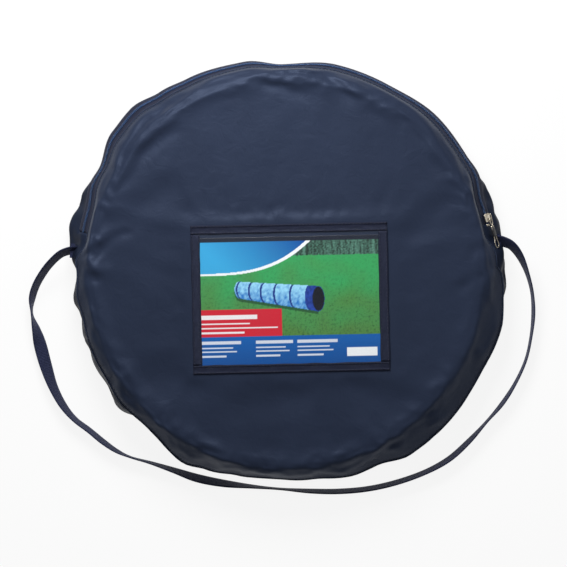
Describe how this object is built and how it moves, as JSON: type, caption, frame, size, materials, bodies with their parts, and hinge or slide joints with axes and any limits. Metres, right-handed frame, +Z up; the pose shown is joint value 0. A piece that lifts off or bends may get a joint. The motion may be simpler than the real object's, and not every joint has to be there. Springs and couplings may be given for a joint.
{
  "type": "agility tunnel",
  "caption": "Dog agility tunnel folded flat in a round zipped nylon bag with a clear card pocket and a webbing carry strap",
  "frame": {"origin": "on the floor under the middle of the bag's disc", "axes": "+Z up through the disc; +Y towards the zipped side; the mirror plane of the disc is X = 0"},
  "size_m": [0.526, 0.4555, 0.0598],
  "materials": {
    "bag_cloth": "navy nylon taffeta with a soft sheen",
    "frame_tape": "plain dark navy binding tape",
    "zip_tape": "woven polyester tape",
    "zip_coil": "nylon coil, blue",
    "zip_metal": "nickel plated",
    "webbing": "ribbed polyester webbing",
    "clear_film": "clear vinyl film",
    "printed_card": "printed coated card",
    "spring_steel": "bright drawn spring wire",
    "ferrule_steel": "crimped sleeve",
    "channel_cloth": "dark blue binding",
    "skin_light": "light blue nylon taffeta",
    "skin_dark": "dark blue nylon taffeta"
  },
  "bodies": {
    "bag": {"back_panel": "bag_cloth", "front_panel": "bag_cloth", "gusset_lower": "bag_cloth", "gusset_upper": "bag_cloth", "zip_tape_back": "zip_tape", "zip_coil_back": "zip_coil", "zip_tape_ends": "zip_tape", "zip_stops": "zip_metal", "window_film": "clear_film", "window_tape_top": "frame_tape", "window_tape_bottom": "frame_tape", "window_tape_left": "frame_tape", "window_tape_right": "frame_tape", "strap_tab_left": "webbing", "strap_tab_right": "webbing", "hoop_1": "spring_steel", "hoop_2": "spring_steel", "hoop_3": "spring_steel", "hoop_4": "spring_steel", "hoop_5": "spring_steel", "hoop_6": "spring_steel", "hoop_7": "spring_steel", "hoop_8": "spring_steel", "hoop_channel_1": "channel_cloth", "hoop_channel_2": "channel_cloth", "hoop_channel_3": "channel_cloth", "hoop_channel_4": "channel_cloth", "hoop_channel_5": "channel_cloth", "hoop_channel_6": "channel_cloth", "hoop_channel_7": "channel_cloth", "hoop_channel_8": "channel_cloth", "skin_section_1": "skin_dark", "skin_section_2": "skin_light", "skin_section_3": "skin_light", "skin_section_4": "skin_light", "skin_section_5": "skin_light", "skin_section_6": "skin_light", "skin_section_7": "skin_dark", "hoop_ferrules": "ferrule_steel"},
    "flap": {"front_flap": "bag_cloth", "zip_tape_front": "zip_tape", "zip_coil_front": "zip_coil"},
    "slider": {"zip_slider": "zip_metal"},
    "link": {"pull_link": "zip_metal"},
    "pull": {"wire_pull": "zip_metal"},
    "card": {"card": "printed_card"},
    "strap": {"carry_strap": "webbing"}
  },
  "joints": [
    {"name": "slider_travel", "type": "hinge", "parent": "bag", "child": "slider", "pos_m": [0, 0, 0.036], "axis": [0, 0, 1], "range_deg": [0, 152]},
    {"name": "flap_fold", "type": "hinge", "parent": "bag", "child": "flap", "pos_m": [0, 0.0542, 0.058], "axis": [1, 0, 0], "range_deg": [0, 140]},
    {"name": "link_swing", "type": "hinge", "parent": "slider", "child": "link", "pos_m": [0.21187, 0.04997, 0.03602], "axis": [-0.5849, -0.1415, 0.7986], "range_deg": [0, 120]},
    {"name": "pull_swing", "type": "hinge", "parent": "link", "child": "pull", "pos_m": [0.21347, 0.04336, 0.03602], "axis": [-0.5849, -0.1415, 0.7986], "range_deg": [0, 50]},
    {"name": "card_slide", "type": "slide", "parent": "bag", "child": "card", "axis": [1, 0, 0], "range_m": [0, 0.19]},
    {"name": "strap_swing", "type": "hinge", "parent": "bag", "child": "strap", "pos_m": [0, 0.026, 0.027], "axis": [-1, 0, 0], "range_deg": [0, 180]}
  ],
  "couplings": [
    {"joint": "flap_fold", "follows": "slider_travel", "ratio": 0.9}
  ]
}
